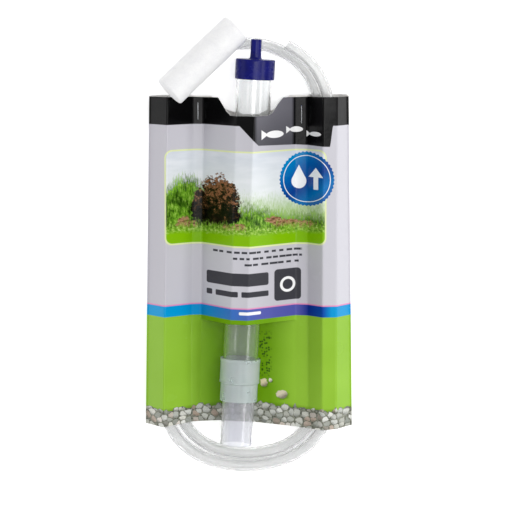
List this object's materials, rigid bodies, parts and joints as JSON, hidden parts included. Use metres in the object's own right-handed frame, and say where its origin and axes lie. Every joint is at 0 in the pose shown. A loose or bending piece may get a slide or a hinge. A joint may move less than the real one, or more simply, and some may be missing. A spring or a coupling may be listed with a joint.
{
  "type": "gravel vacuum siphon",
  "caption": "Clear intake tube with blue outlet cap, start valve coupling and foot, soft hose and foam sponge, held in a folded, stapled printed card.",
  "frame": {"origin": "middle of the pack's footprint without the hose, on the surface that the card's back lies on", "axes": "+Y along the intake tube towards the outlet nozzle, +Z out of the card's printed front, +X to the right seen from the front"},
  "size_m": [0.1532, 0.3198, 0.0445],
  "materials": {
    "clear_plastic": "clear, polished",
    "milky_plastic": "translucent, moulded",
    "blue_plastic": "moulded, glossy",
    "white_plastic": "moulded",
    "soft_pvc": "clear, soft",
    "melamine_foam": "fine open foam",
    "printed_card": "printed and varnished",
    "back_card": "plain white board",
    "staple_wire": "drawn wire"
  },
  "bodies": {
    "pack": {"card_front": "printed_card", "card_back": "back_card", "staple_left": "staple_wire", "staple_right": "staple_wire", "hose": "soft_pvc"},
    "intake": {"intake_tube": "clear_plastic"},
    "outlet": {"outlet_cap": "blue_plastic", "guard_grille": "white_plastic"},
    "coupling": {"coupling_sleeve": "milky_plastic", "valve_seat": "milky_plastic", "valve_cage": "milky_plastic"},
    "valve": {"valve_plate": "white_plastic"},
    "foot": {"foot_tube": "clear_plastic"},
    "sponge": {"cleaning_sponge": "melamine_foam"}
  },
  "joints": [
    {"name": "intake_slide", "type": "slide", "parent": "pack", "child": "intake", "axis": [0, -1, 0], "range_m": [0, 0.28]},
    {"name": "cap_pull", "type": "slide", "parent": "intake", "child": "outlet", "axis": [0, 1, 0], "range_m": [0, 0.0055]},
    {"name": "coupling_pull", "type": "slide", "parent": "intake", "child": "coupling", "axis": [0, -1, 0], "range_m": [0, 0.012]},
    {"name": "foot_pull", "type": "slide", "parent": "coupling", "child": "foot", "axis": [0, -1, 0], "range_m": [0, 0.007]},
    {"name": "valve_lift", "type": "slide", "parent": "coupling", "child": "valve", "axis": [0, 1, 0], "range_m": [0, 0.004]},
    {"name": "sponge_lift", "type": "slide", "parent": "pack", "child": "sponge", "axis": [0, 0, 1], "range_m": [0, 0.06]}
  ]
}
